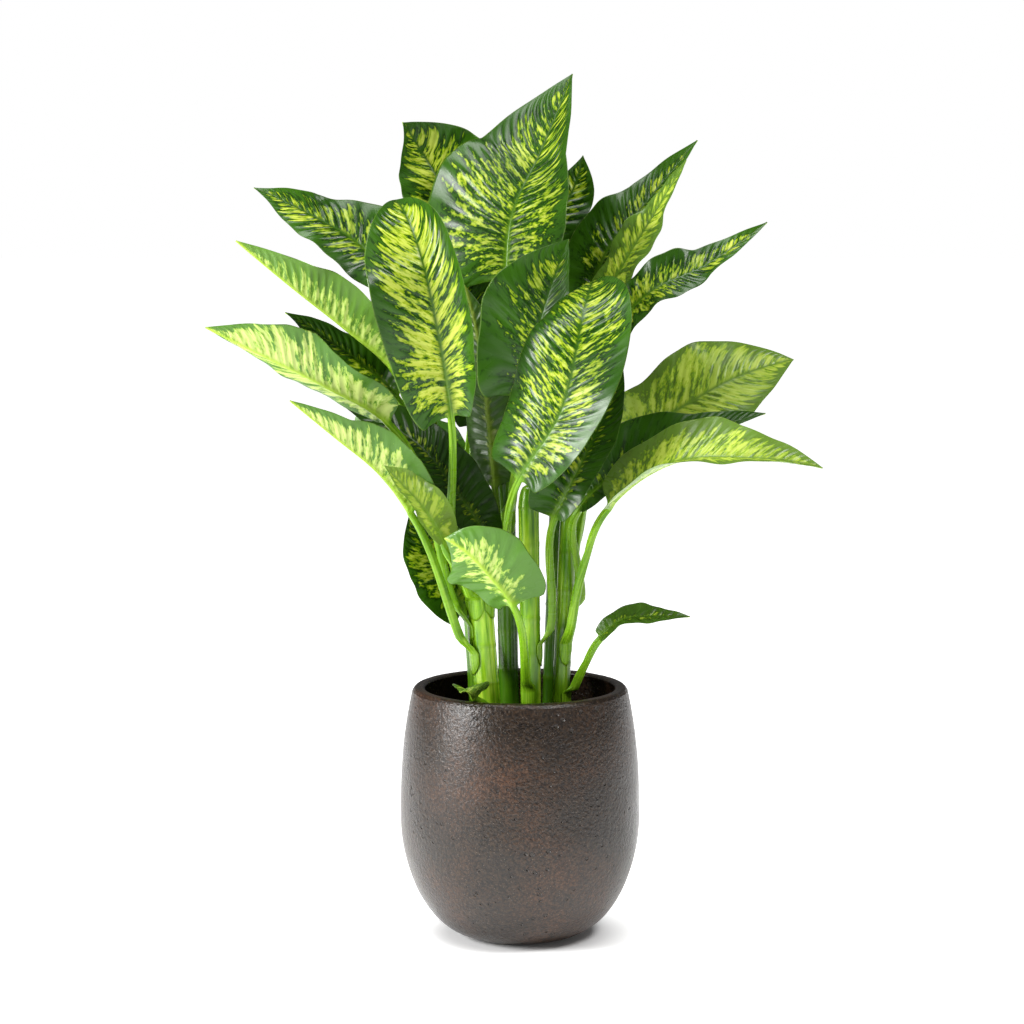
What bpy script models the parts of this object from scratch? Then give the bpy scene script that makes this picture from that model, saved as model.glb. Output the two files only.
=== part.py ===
"""Potted dieffenbachia: a round clay pot, its soil, six canes and their leaves.

Metres, +Z up, origin at the centre of the pot's underside, front of the plant towards -Y.
"""
import math

import bmesh
import bpy
from mathutils import Vector

# ---------------------------------------------------------------- driving dimensions
GAP = 0.0003              # clearance between pieces that touch

POT_HEIGHT = 0.315
POT_BELLY_R = 0.150       # widest radius
POT_BELLY_Z = 0.150
POT_FOOT_R = 0.060        # flat the pot stands on
POT_RIM_R = 0.1335        # outer edge of the rim
POT_WALL = 0.0155
POT_FLOOR = 0.022
POT_ROUND = 0.005         # softening of the rim's two edges
POT_SEGMENTS = 48
BOWL_START = 0.75         # radius at which the rounded bowl begins, as a share of the foot
BOWL_RISE = 1.8           # the two powers that give the bowl its full, round curve
BOWL_SWELL = 2.4
SHOULDER_DRAW = 2.4       # how late the shoulder draws in

SOIL_TOP = 0.262
PLANTING_DEPTH = 0.030    # how far a cane goes into the soil

CANE_SIDES = 16
CANE_TAPER = 0.030        # length of the growing point
CANE_TIP_R = 0.0030
HOLE_ABOVE = 0.010        # how far the tool that cuts a cane's hole stands over the soil

CLASP_ANGLE = math.radians(44)   # half of the arc a leaf's sheath takes round its cane
CLASP_THICK = 0.0016
SHEATH_EASE = 0.0001      # added to the gap so a sheath's flats clear the cane's corners
DEPARTURE = 0.40          # how far a petiole leans out where it leaves its sheath
SUPPLE = 0.9              # how far a petiole keeps each of its two directions, as a share of its length
BLADE_PULL = 0.65         # how much the blade's direction, not the petiole's, rules the collar
PETIOLE_R = 0.0060        # at the sheath
COLLAR_R = 0.0042         # where the blade begins
BLADE_THICK = 0.0010
KEEL_DEPTH = 0.0016       # midrib standing out below the blade
KEEL_FADE = 0.8           # share of its height the midrib loses towards the tip
TIP_HALF = 0.0006
WAVES = 2.3               # waves along a blade's edge, and how far the right edge's run ahead
WAVE_SHIFT = 0.4
LOBE = 0.45               # how far a blade's rounded base reaches back past its collar, in half-widths
LOBE_GROWN = 0.12         # share of the blade's length at which it reaches furthest, and where it ends
LOBE_ENDED = 0.50

# share of the largest half-width at each share of the blade's length
BLADE_OUTLINE = ((0.0, 0.0), (0.04, 0.36), (0.12, 0.66), (0.25, 0.91), (0.40, 1.0), (0.55, 0.95),
                 (0.70, 0.76), (0.82, 0.51), (0.92, 0.23), (1.0, 0.0))
LOW_SHARE = 0.35          # where along the blade its lower and upper middle points lie
HIGH_SHARE = 0.70
BLADE_STATIONS = (0.04, 0.12, 0.25, 0.40, 0.55, 0.70, 0.82, 0.92, 1.0)
UNROLLED = 0.8            # how far the sheath has closed into the petiole at its first station
PETIOLE_STATIONS = (0.12, 0.30, 0.48, 0.66, 0.84, 1.0)

# a section has eight points: five over the upper side from edge to edge, three back below
ACROSS = (-1.0, -0.5, 0.0, 0.5, 1.0, 0.5, 0.0, -0.5)
BELOW = (0, 0, 0, 0, 0, 1, 1, 1)
UPPER_STEPS = 4
PETIOLE_SECTION = ((-1.0, -0.9), (-0.62, -0.12), (0.0, -0.35), (0.62, -0.12), (1.0, -0.9),
                   (0.7, -1.7), (0.0, -2.0), (-0.7, -1.7))

# canes: foot on the soil, top of the growing point, radius
CANES = {
    "a": ((-0.037, -0.030, SOIL_TOP), (-0.053, -0.036, 0.475), 0.0160),
    "b": ((0.014, -0.036, SOIL_TOP), (0.010, -0.034, 0.570), 0.0130),
    "c": ((0.049, -0.020, SOIL_TOP), (0.060, -0.017, 0.540), 0.0110),
    "d": ((-0.013, 0.026, SOIL_TOP), (-0.020, 0.032, 0.610), 0.0130),
    "e": ((0.038, 0.036, SOIL_TOP), (0.050, 0.040, 0.590), 0.0115),
    "f": ((-0.052, 0.044, SOIL_TOP), (-0.074, 0.054, 0.605), 0.0110),
}
CANE_NAMES = {"a": "cane_front_left", "b": "cane_front_middle", "c": "cane_front_right",
              "d": "cane_back_middle", "e": "cane_back_right", "f": "cane_back_left"}

# leaves: name; cane, direction it leaves the cane (degrees), height of the sheath's foot,
# sheath length; collar, lower middle, upper middle and tip of the blade; direction the upper
# side faces; half-widths left then right, each near the base and near the tip; fold and curl
# (degrees), each left then right; height of the edge's wave
LEAVES = (
    ("leaf_crown", "d", 75, 0.545, 0.028, (-0.018, 0.016, 0.818), (-0.010, 0.030, 0.900),
     (0.025, 0.055, 0.975), (0.065, 0.090, 1.073), (-0.20, -0.90, 0.30), (0.118, 0.110),
     (0.106, 0.062), (2, 26), (-18, 15), 0.006),
    ("leaf_crown_left", "f", 75, 0.535, 0.026, (-0.057, 0.100, 0.845), (-0.085, 0.120, 0.910),
     (-0.120, 0.130, 0.970), (-0.147, 0.110, 1.013), (0.25, -0.90, 0.30), (0.068, 0.066),
     (0.078, 0.085), (10, 10), (15, 15), 0.005),
    ("leaf_crown_small", "e", 125, 0.520, 0.026, (0.030, 0.120, 0.850), (0.050, 0.130, 0.895),
     (0.070, 0.140, 0.935), (0.080, 0.140, 0.972), (-0.10, -0.90, 0.30), (0.030, 0.028),
     (0.034, 0.038), (10, 10), (10, 10), 0.002),
    ("leaf_upper_left_dark", "f", 175, 0.500, 0.028, (-0.137, 0.030, 0.795),
     (-0.195, 0.030, 0.860), (-0.265, 0.040, 0.902), (-0.330, 0.050, 0.932), (0.20, -0.75, 0.60),
     (0.045, 0.042), (0.062, 0.038), (10, 5), (-15, 10), 0.005),
    ("leaf_upper_left_pale", "f", 220, 0.445, 0.026, (-0.156, 0.020, 0.709),
     (-0.217, 0.010, 0.761), (-0.279, 0.000, 0.810), (-0.347, -0.010, 0.868), (0.30, 0.90, 0.30),
     (0.050, 0.052), (0.045, 0.045), (8, 70), (5, 10), 0.003),
    ("leaf_left_ribbed", "a", 185, 0.370, 0.028, (-0.157, -0.065, 0.648), (-0.233, -0.078, 0.694),
     (-0.303, -0.090, 0.730), (-0.376, -0.100, 0.767), (0.00, 0.80, 0.55), (0.042, 0.066),
     (0.026, 0.022), (8, 25), (5, 0), 0.004),
    ("leaf_left_narrow", "f", 185, 0.390, 0.028, (-0.150, 0.030, 0.672), (-0.199, 0.030, 0.717),
     (-0.246, 0.040, 0.750), (-0.292, 0.045, 0.778), (0.25, -0.60, 0.75), (0.045, 0.040),
     (0.026, 0.026), (12, 12), (10, 10), 0.002),
    ("leaf_left_low", "a", 204, 0.336, 0.028, (-0.131, -0.080, 0.541), (-0.171, -0.090, 0.592),
     (-0.222, -0.100, 0.635), (-0.275, -0.110, 0.680), (0.20, 0.85, 0.45), (0.054, 0.042),
     (0.040, 0.035), (8, 70), (5, 10), 0.003),
    ("leaf_left_inner", "a", 245, 0.405, 0.026, (-0.090, -0.105, 0.507), (-0.115, -0.112, 0.550),
     (-0.141, -0.118, 0.580), (-0.163, -0.120, 0.603), (-0.20, -0.50, 0.85), (0.020, 0.018),
     (0.030, 0.028), (12, 12), (10, 10), 0.002),
    ("leaf_front_left", "a", 155, 0.405, 0.028, (-0.082, -0.100, 0.656), (-0.095, -0.130, 0.747),
     (-0.120, -0.140, 0.862), (-0.150, -0.060, 0.918), (0.25, -0.95, 0.20), (0.066, 0.090),
     (0.046, 0.062), (5, 20), (5, 55), 0.005),
    ("leaf_front_right", "a", 335, 0.405, 0.028, (-0.004, -0.120, 0.582), (0.047, -0.150, 0.669),
     (0.074, -0.145, 0.785), (0.088, -0.030, 0.818), (-0.10, -0.95, 0.30), (0.078, 0.072),
     (0.050, 0.080), (-4, 8), (-35, 15), 0.005),
    ("leaf_middle_back", "d", 290, 0.500, 0.028, (0.002, -0.038, 0.675), (0.018, -0.058, 0.749),
     (0.038, -0.064, 0.816), (0.058, -0.060, 0.871), (-0.20, -0.85, 0.45), (0.070, 0.083),
     (0.048, 0.036), (12, 12), (10, 10), 0.004),
    ("leaf_right_top_dark", "e", 30, 0.520, 0.028, (0.079, 0.065, 0.767), (0.109, 0.075, 0.854),
     (0.160, 0.085, 0.916), (0.222, 0.095, 0.991), (-0.40, -0.70, 0.60), (0.055, 0.044),
     (0.045, 0.040), (10, 12), (10, 10), 0.005),
    ("leaf_right_top_pale", "e", 348, 0.475, 0.028, (0.089, 0.030, 0.763), (0.129, 0.020, 0.841),
     (0.166, 0.020, 0.902), (0.204, 0.030, 0.966), (-0.60, -0.60, 0.50), (0.030, 0.022),
     (0.046, 0.036), (20, 10), (10, 10), 0.005),
    ("leaf_right_upper", "e", 330, 0.430, 0.028, (0.112, -0.022, 0.754), (0.157, -0.045, 0.807),
     (0.223, -0.050, 0.839), (0.298, -0.045, 0.891), (-0.30, -0.65, 0.70), (0.036, 0.036),
     (0.036, 0.028), (15, 5), (10, 0), 0.005),
    ("leaf_right_broad", "c", 70, 0.405, 0.028, (0.108, -0.027, 0.610), (0.184, -0.018, 0.656),
     (0.262, -0.018, 0.700), (0.337, 0.002, 0.722), (-0.30, -0.80, 0.45), (0.064, 0.086),
     (0.048, 0.082), (4, 8), (-14, 10), 0.005),
    ("leaf_right_dark", "c", 340, 0.385, 0.028, (0.067, -0.056, 0.539), (0.134, -0.058, 0.597),
     (0.218, -0.068, 0.637), (0.296, -0.075, 0.662), (-0.25, -0.60, 0.75), (0.062, 0.038),
     (0.032, 0.036), (14, 12), (10, 10), 0.003),
    ("leaf_right_arching", "c", 290, 0.345, 0.028, (0.102, -0.095, 0.548), (0.180, -0.145, 0.609),
     (0.270, -0.170, 0.617), (0.355, -0.175, 0.606), (-0.10, -0.60, 0.80), (0.060, 0.060),
     (0.045, 0.040), (5, 35), (5, 0), 0.004),
    ("leaf_low_left", "a", 100, 0.300, 0.028, (-0.067, 0.010, 0.406), (-0.099, 0.000, 0.454),
     (-0.121, -0.010, 0.493), (-0.136, -0.020, 0.535), (0.30, -0.80, 0.50), (0.048, 0.050),
     (0.042, 0.044), (8, 8), (10, 10), 0.003),
    ("leaf_low_centre", "b", 254, 0.290, 0.028, (-0.008, -0.120, 0.435), (-0.033, -0.137, 0.469),
     (-0.062, -0.143, 0.500), (-0.090, -0.132, 0.517), (0.20, 0.90, 0.35), (0.056, 0.058),
     (0.038, 0.070), (8, 8), (10, 10), 0.003),
    ("leaf_low_right", "c", 320, 0.285, 0.026, (0.095, -0.060, 0.384), (0.124, -0.070, 0.409),
     (0.168, -0.075, 0.414), (0.207, -0.070, 0.413), (0.00, -0.60, 0.80), (0.017, 0.018),
     (0.017, 0.018), (12, 12), (10, 10), 0.002),
    ("leaf_rim_sprout", "a", 262, 0.278, 0.018, (-0.056, -0.083, 0.319), (-0.061, -0.102, 0.326),
     (-0.066, -0.121, 0.331), (-0.072, -0.143, 0.333), (0.10, 0.10, 0.98), (0.025, 0.024),
     (0.022, 0.022), (34, 16), (0, 0), 0.000),
    ("leaf_inner_left", "d", 250, 0.430, 0.028, (-0.030, 0.012, 0.560), (-0.039, 0.013, 0.648),
     (-0.049, 0.008, 0.734), (-0.068, 0.005, 0.813), (0.30, 0.90, 0.20), (0.034, 0.040),
     (0.036, 0.042), (10, 10), (10, 10), 0.003),
    ("leaf_inner_large", "a", 75, 0.355, 0.028, (-0.038, -0.014, 0.494), (-0.081, -0.007, 0.563),
     (-0.134, -0.002, 0.624), (-0.243, 0.000, 0.680), (0.30, -0.80, 0.50), (0.038, 0.045),
     (0.038, 0.045), (10, 10), (10, 10), 0.004),
    ("leaf_inner_right", "b", 350, 0.345, 0.028, (0.039, -0.085, 0.532), (0.072, -0.095, 0.600),
     (0.102, -0.095, 0.665), (0.123, -0.080, 0.722), (-0.30, -0.85, 0.40), (0.050, 0.045),
     (0.030, 0.036), (10, 10), (10, 10), 0.003),
    ("leaf_crown_inner", "f", 20, 0.440, 0.028, (-0.050, 0.062, 0.631), (-0.055, 0.065, 0.718),
     (-0.070, 0.065, 0.799), (-0.088, 0.060, 0.877), (0.20, -0.95, 0.20), (0.050, 0.050),
     (0.042, 0.048), (10, 10), (10, 10), 0.003),
    ("leaf_back_high", "d", 100, 0.490, 0.028, (-0.030, 0.135, 0.720), (-0.060, 0.190, 0.790),
     (-0.085, 0.240, 0.845), (-0.110, 0.300, 0.880), (0.10, -0.30, 0.95), (0.060, 0.060),
     (0.060, 0.060), (12, 12), (10, 10), 0.004),
    ("leaf_back_left", "f", 95, 0.390, 0.028, (-0.085, 0.110, 0.560), (-0.130, 0.165, 0.605),
     (-0.175, 0.220, 0.625), (-0.220, 0.275, 0.620), (0.20, -0.20, 0.95), (0.055, 0.055),
     (0.055, 0.055), (12, 12), (10, 10), 0.004),
    ("leaf_back_right", "e", 62, 0.405, 0.028, (0.100, 0.115, 0.570), (0.140, 0.170, 0.610),
     (0.185, 0.225, 0.630), (0.230, 0.285, 0.620), (-0.20, -0.20, 0.95), (0.055, 0.055),
     (0.055, 0.055), (12, 12), (10, 10), 0.004),
    ("leaf_back_middle", "e", 100, 0.450, 0.028, (0.050, 0.130, 0.640), (0.060, 0.195, 0.710),
     (0.070, 0.265, 0.755), (0.080, 0.335, 0.765), (0.00, -0.30, 0.95), (0.060, 0.060),
     (0.060, 0.060), (12, 12), (10, 10), 0.004),
)

# ---------------------------------------------------------------- scene
for old in list(bpy.data.objects):
    bpy.data.objects.remove(old, do_unlink=True)


def material(name, colour, roughness):
    mat = bpy.data.materials.new(name)
    mat.use_nodes = True
    shader = mat.node_tree.nodes["Principled BSDF"]
    shader.inputs["Base Color"].default_value = (*colour, 1.0)
    shader.inputs["Roughness"].default_value = roughness
    shader.inputs["Metallic"].default_value = 0.0
    mat.diffuse_color = (*colour, 1.0)
    return mat


CLAY = material("grey_brown_clay", (0.118, 0.090, 0.070), 0.55)
EARTH = material("potting_soil", (0.022, 0.014, 0.009), 0.95)
CANE_SKIN = material("cane_skin", (0.270, 0.330, 0.090), 0.40)
LEAF_SKIN = material("leaf_skin", (0.150, 0.270, 0.045), 0.35)


def loft(name, rings, mat, upper_side=None):
    """A closed solid through rings of equal point count, its two ends capped.

    On a thin sheet, upper_side counts the ring's steps over its upper side: the warped faces
    above and below are then cut along the same diagonal, so they keep clear of each other.
    """
    bm = bmesh.new()
    made = [[bm.verts.new(p) for p in ring] for ring in rings]
    count = len(made[0])
    for low, high in zip(made, made[1:]):
        for i in range(count):
            j = (i + 1) % count
            if upper_side is None:
                bm.faces.new((low[i], low[j], high[j], high[i]))
            elif i < upper_side:
                bm.faces.new((low[i], low[j], high[j]))
                bm.faces.new((low[i], high[j], high[i]))
            else:
                bm.faces.new((low[i], low[j], high[i]))
                bm.faces.new((low[j], high[j], high[i]))
    bm.faces.new(list(reversed(made[0])))
    bm.faces.new(made[-1])
    if bm.calc_volume(signed=True) < 0:
        bmesh.ops.reverse_faces(bm, faces=bm.faces)
    for face in bm.faces:
        face.smooth = True
    mesh = bpy.data.meshes.new(name)
    bm.to_mesh(mesh)
    bm.free()
    mesh.materials.append(mat)
    obj = bpy.data.objects.new(name, mesh)
    bpy.context.scene.collection.objects.link(obj)
    return obj


def circle(radius, z, sides=POT_SEGMENTS):
    return [Vector((radius * math.cos(2 * math.pi * i / sides),
                    radius * math.sin(2 * math.pi * i / sides), z)) for i in range(sides)]


# ---------------------------------------------------------------- pot
def bowl(z, low, foot_r, belly_r):
    """Radius of the rounded lower half, from the flat at height low up to the belly."""
    t = (POT_BELLY_Z - z) / (POT_BELLY_Z - low)
    start = BOWL_START * foot_r
    return max(foot_r, start + (belly_r - start) * (1 - t ** BOWL_RISE) ** (1 / BOWL_SWELL))


def shoulder(z, belly_r):
    """Radius of the upper half, drawing in towards the rim."""
    t = (z - POT_BELLY_Z) / (POT_HEIGHT - POT_BELLY_Z)
    return belly_r - (POT_BELLY_R - POT_RIM_R) * t ** SHOULDER_DRAW


def wall_radius(z, low, foot_r, belly_r):
    return bowl(z, low, foot_r, belly_r) if z < POT_BELLY_Z else shoulder(z, belly_r)


OUTER_LEVELS = (0.0025, 0.008, 0.018, 0.034, 0.058, 0.090, 0.125, 0.160, 0.195, 0.230, 0.262, 0.288)
INNER_LEVELS = (0.290, 0.262, 0.230, 0.195, 0.160, 0.125, 0.092, 0.064, 0.044, 0.032, 0.0255)
INNER_FOOT_R = POT_FOOT_R - 0.012
INNER_BELLY_R = POT_BELLY_R - POT_WALL
RIM_INNER_R = POT_RIM_R - POT_WALL


def rim_rings():
    """Over the rim: rounded outer edge, flat top, rounded inner edge."""
    rings = []
    for step in range(4):
        a = math.radians(30 * step)
        rings.append(circle(POT_RIM_R - POT_ROUND + POT_ROUND * math.cos(a),
                            POT_HEIGHT - POT_ROUND + POT_ROUND * math.sin(a)))
    for step in range(3, -1, -1):
        a = math.radians(30 * step)
        rings.append(circle(RIM_INNER_R + POT_ROUND - POT_ROUND * math.cos(a),
                            POT_HEIGHT - POT_ROUND + POT_ROUND * math.sin(a)))
    return rings


outside = [circle(POT_FOOT_R, 0.0)]
outside += [circle(wall_radius(z, 0.0, POT_FOOT_R, POT_BELLY_R), z) for z in OUTER_LEVELS]
inside = [circle(wall_radius(z, POT_FLOOR, INNER_FOOT_R, INNER_BELLY_R), z) for z in INNER_LEVELS]
inside += [circle(INNER_FOOT_R, POT_FLOOR)]
pot = loft("pot", outside + rim_rings() + inside, CLAY)


# ---------------------------------------------------------------- canes
def cane_axis(key, z):
    foot, top, _ = CANES[key]
    t = (z - foot[2]) / (top[2] - foot[2])
    return Vector(foot).lerp(Vector(top), t)


def cane_rings(key, swell=0.0, drop=0.0, capped=False):
    """Rings of a cane, or of the hole it stands in when swell and drop are given."""
    foot, top, radius = CANES[key]
    low = foot[2] - PLANTING_DEPTH - drop
    if capped:
        levels = ((low, radius + swell), (foot[2] + HOLE_ABOVE, radius + swell))
    else:
        start = top[2] - CANE_TAPER
        levels = ((low, radius), (foot[2], radius), (0.5 * (foot[2] + start), radius),
                  (start, radius), (start + 0.4 * CANE_TAPER, radius * 0.86),
                  (start + 0.75 * CANE_TAPER, radius * 0.58), (top[2], CANE_TIP_R))
    rings = []
    for z, r in levels:
        centre = cane_axis(key, z)
        rings.append([centre + p for p in circle(r, 0.0, CANE_SIDES)])
    return rings


for key, name in CANE_NAMES.items():
    loft(name, cane_rings(key), CANE_SKIN)

# ---------------------------------------------------------------- soil
SOIL_SIDE_GAP = 0.0005
HOLE_SWELL = 0.0004
soil_rings = [circle(INNER_FOOT_R - SOIL_SIDE_GAP, POT_FLOOR + GAP)]
for z in reversed(INNER_LEVELS):
    if z < SOIL_TOP:
        r = wall_radius(z, POT_FLOOR, INNER_FOOT_R, INNER_BELLY_R)
        soil_rings.append(circle(r - SOIL_SIDE_GAP, z + GAP))
top_r = wall_radius(SOIL_TOP, POT_FLOOR, INNER_FOOT_R, INNER_BELLY_R)
soil_rings.append(circle(top_r - SOIL_SIDE_GAP, SOIL_TOP))
soil = loft("soil", soil_rings, EARTH)

for key in CANES:
    hole = loft("hole_" + key, cane_rings(key, swell=HOLE_SWELL, drop=GAP, capped=True), EARTH)
    cut = soil.modifiers.new("hole_" + key, "BOOLEAN")
    cut.operation = "DIFFERENCE"
    cut.solver = "EXACT"
    cut.object = hole
    bpy.context.view_layer.update()
    graph = bpy.context.evaluated_depsgraph_get()
    result = bpy.data.meshes.new_from_object(soil.evaluated_get(graph))
    soil.modifiers.clear()
    soil.data = result
    bpy.data.objects.remove(hole, do_unlink=True)


# ---------------------------------------------------------------- leaves
def hermite(p0, m0, p1, m1, t):
    """Point and direction on a curve from p0 to p1 that leaves along m0, arrives along m1."""
    a, b = t * t, t * t * t
    point = (2 * b - 3 * a + 1) * p0 + (b - 2 * a + t) * m0 + (3 * a - 2 * b) * p1 + (b - a) * m1
    slope = (6 * a - 6 * t) * (p0 - p1) + (3 * a - 4 * t + 1) * m0 + (3 * a - 2 * t) * m1
    return point, slope.normalized()


def smooth(t):
    return t * t * (3 - 2 * t)


def outline(s):
    for (s0, w0), (s1, w1) in zip(BLADE_OUTLINE, BLADE_OUTLINE[1:]):
        if s <= s1:
            return w0 + (w1 - w0) * (s - s0) / (s1 - s0)
    return 0.0


def side_curve(share, fold, curl):
    """Where a share of the half-width lies across and above the midrib, and its lean."""
    lean = fold + curl * share
    if abs(curl) < 1e-4:
        return share * math.cos(fold), share * math.sin(fold), lean
    return ((math.sin(lean) - math.sin(fold)) / curl,
            (math.cos(fold) - math.cos(lean)) / curl, lean)


def frame_at(direction, upper):
    """Across and upper-side axes square to the direction of growth."""
    up = (upper - direction * upper.dot(direction)).normalized()
    return direction.cross(up), up


def clasp_section(radius):
    points = []
    for across, below in zip(ACROSS, BELOW):
        a = across * CLASP_ANGLE
        edge = abs(across) == 1.0
        r = radius + (CLASP_THICK if below else 0.5 * CLASP_THICK if edge else 0.0)
        points.append((r * math.sin(a), radius - r * math.cos(a)))
    return points


def petiole_section(radius):
    return [(x * radius, z * radius) for x, z in PETIOLE_SECTION]


def blade_section(s, left, right, folds, curls, wave):
    """Left and right hold the half-width near the base and near the tip."""
    keel = KEEL_DEPTH * (1 - KEEL_FADE * s)
    points = []
    for across, below in zip(ACROSS, BELOW):
        side = 1 if across > 0 else 0
        widths = (left, right)[side]
        spread = min(max((s - LOW_SHARE) / (HIGH_SHARE - LOW_SHARE), 0.0), 1.0)
        half = max(outline(s) * (widths[0] + (widths[1] - widths[0]) * spread), TIP_HALF)
        x, z, lean = side_curve(abs(across), folds[side], curls[side])
        turns = WAVES * s + WAVE_SHIFT * side
        ripple = outline(s) * wave * across * across * math.sin(math.tau * turns)
        x, z = x * half, z * half + ripple
        if below:
            depth = BLADE_THICK + (keel if across == 0 else 0.0)
            x += depth * math.sin(lean) if across else 0.0
            z -= depth * math.cos(lean) if across else depth
        points.append((x if side or across == 0 else -x, z))
    return points


def place(centre, across, up, section):
    return [centre + across * x + up * z for x, z in section]


def drawn_back(s, left, right):
    """How far each point of a blade's section lies back towards the petiole, in a rounded base."""
    grown = smooth(min(s / LOBE_GROWN, 1.0))
    left_on = 1 - smooth(min(max((s - LOBE_GROWN) / (LOBE_ENDED - LOBE_GROWN), 0.0), 1.0))
    return [LOBE * (right if across > 0 else left)[0] * across * across * grown * left_on
            for across in ACROSS]


def mix(one, two, t):
    return [(a + (c - a) * t, b + (d - b) * t) for (a, b), (c, d) in zip(one, two)]


def midrib(points, first_direction, s):
    """Point and direction of the midrib at a share of the blade's length."""
    shares = (0.0, LOW_SHARE, HIGH_SHARE, 1.0)
    directions = [first_direction, (points[2] - points[0]).normalized(),
                  (points[3] - points[1]).normalized()]
    directions.append((2 * (points[3] - points[2]).normalized() - directions[2]).normalized())
    i = 0 if s < LOW_SHARE else 1 if s < HIGH_SHARE else 2
    length = (points[i + 1] - points[i]).length
    t = (s - shares[i]) / (shares[i + 1] - shares[i])
    return hermite(points[i], directions[i] * length, points[i + 1], directions[i + 1] * length, t)


def leaf_rings(cane, azimuth, foot_z, clasp, collar, low, high, tip, face, left, right,
               folds, curls, wave):
    foot, top, radius = CANES[cane]
    rise = (Vector(top) - Vector(foot)).normalized()
    a = math.radians(azimuth)
    outward = Vector((math.cos(a), math.sin(a), 0.0))
    outward = (outward - rise * outward.dot(rise)).normalized()
    inner = (radius + GAP) / math.cos(CLASP_ANGLE / 4) + SHEATH_EASE
    start = cane_axis(cane, foot_z) + outward * inner
    end = start + rise * clasp
    points = [Vector(p) for p in (collar, low, high, tip)]
    face = Vector(face)
    reach = (points[0] - end).length
    grow_in = (points[0] - end).normalized().lerp((points[1] - points[0]).normalized(), BLADE_PULL)
    grow_in.normalize()
    leave = (rise + outward * DEPARTURE).normalized()
    folds = [math.radians(v) for v in folds]
    curls = [math.radians(v) for v in curls]

    rings = []
    side, up = frame_at(rise, -outward)
    for point in (start, end):
        rings.append(place(point, side, up, clasp_section(inner)))
    for t in PETIOLE_STATIONS:
        point, grow = hermite(end, leave * reach * SUPPLE, points[0], grow_in * reach * SUPPLE, t)
        side, up = frame_at(grow, (-outward).lerp(face.normalized(), smooth(t)))
        section = petiole_section(PETIOLE_R + (COLLAR_R - PETIOLE_R) * t)
        if t == PETIOLE_STATIONS[0]:
            section = mix(clasp_section(inner), section, UNROLLED)
        rings.append(place(point, side, up, section))
    for s in BLADE_STATIONS:
        point, grow = midrib(points, grow_in, s)
        side, up = frame_at(grow, face)
        ring = place(point, side, up, blade_section(s, left, right, folds, curls, wave))
        rings.append([p - grow * b for p, b in zip(ring, drawn_back(s, left, right))])
    return rings


for name, *row in LEAVES:
    loft(name, leaf_rings(*row), LEAF_SKIN, upper_side=UPPER_STEPS)
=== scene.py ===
"""Potted dieffenbachia: a round clay pot with its soil, six canes and their variegated leaves."""
import math

import bmesh
import bpy
import numpy as np
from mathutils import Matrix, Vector, noise


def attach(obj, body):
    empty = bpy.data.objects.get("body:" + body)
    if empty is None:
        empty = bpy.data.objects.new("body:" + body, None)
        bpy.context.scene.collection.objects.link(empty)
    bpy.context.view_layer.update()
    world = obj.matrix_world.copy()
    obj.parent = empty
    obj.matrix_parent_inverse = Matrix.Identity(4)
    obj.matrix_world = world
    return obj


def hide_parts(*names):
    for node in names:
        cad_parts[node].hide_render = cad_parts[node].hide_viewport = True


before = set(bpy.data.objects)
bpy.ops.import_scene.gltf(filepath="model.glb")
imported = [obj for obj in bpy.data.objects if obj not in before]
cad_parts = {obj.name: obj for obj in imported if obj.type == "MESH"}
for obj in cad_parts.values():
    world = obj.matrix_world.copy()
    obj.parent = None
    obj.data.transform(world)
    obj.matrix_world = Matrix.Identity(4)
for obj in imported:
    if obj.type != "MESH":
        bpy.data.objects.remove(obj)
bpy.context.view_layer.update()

# ---------------------------------------------------------------- studio
# A white floor lit from within except under the pot, in an even white surround, with a tall soft
# lamp at the left and others high at the right and overhead. The camera stands far off, near the
# height of the top leaves, and looks slightly down.
CAMERA_PLACE = (-0.010, -3.5, 0.944)
CAMERA_DIP = math.radians(6.7)
CAMERA_LENS = 100.0
SENSOR_WIDTH = 36.0
FLOOR_SIZE = 60.0
FLOOR_GLOW = (0.02, 0.93)     # a lightbox floor, lit from within: under the pot, and further out
GLOW_REACH = (0.09, 0.165)    # where the glow starts to grow, and where it is full
FILL = 0.16                   # how strongly the surround lights, beside how white it shows
WHITE = "#ffffff"
FLOOR_WHITE = "#fafaf9"


def linear(hex_colour):
    """An sRGB hex colour as linear red, green, blue and alpha."""
    channels = [int(hex_colour[i:i + 2], 16) / 255 for i in (1, 3, 5)]
    return (*[c / 12.92 if c <= 0.04045 else ((c + 0.055) / 1.055) ** 2.4 for c in channels], 1.0)


def add(tree, kind, inputs=(), **settings):
    """Add a node. inputs pairs each socket with a value or with another node's output."""
    made = tree.nodes.new("ShaderNode" + kind)
    for key, value in settings.items():
        setattr(made, key, value)
    for socket, value in dict(inputs).items():
        if isinstance(value, bpy.types.Node):
            value = value.outputs[0]
        if isinstance(value, bpy.types.NodeSocket):
            tree.links.new(value, made.inputs[socket])
        else:
            made.inputs[socket].default_value = value
    return made


def new_material(name):
    material = bpy.data.materials.new(name)
    material.use_nodes = True
    material.node_tree.nodes.clear()
    return material, material.node_tree


def stops(ramp, rows):
    """Set a colour ramp's stops from (place, hex colour) rows."""
    elements = ramp.color_ramp.elements
    while len(elements) < len(rows):
        elements.new(1.0)
    for element, (place, colour) in zip(elements, rows):
        element.position = place
        element.color = linear(colour)
    return ramp


camera = bpy.data.objects.new("camera", bpy.data.cameras.new("camera"))
camera.location = CAMERA_PLACE
camera.rotation_euler = (math.pi / 2 - CAMERA_DIP, 0.0, 0.0)
camera.data.lens = CAMERA_LENS
camera.data.sensor_width = SENSOR_WIDTH
bpy.context.scene.collection.objects.link(camera)
bpy.context.scene.camera = camera
bpy.context.scene.view_settings.view_transform = "Standard"

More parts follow.
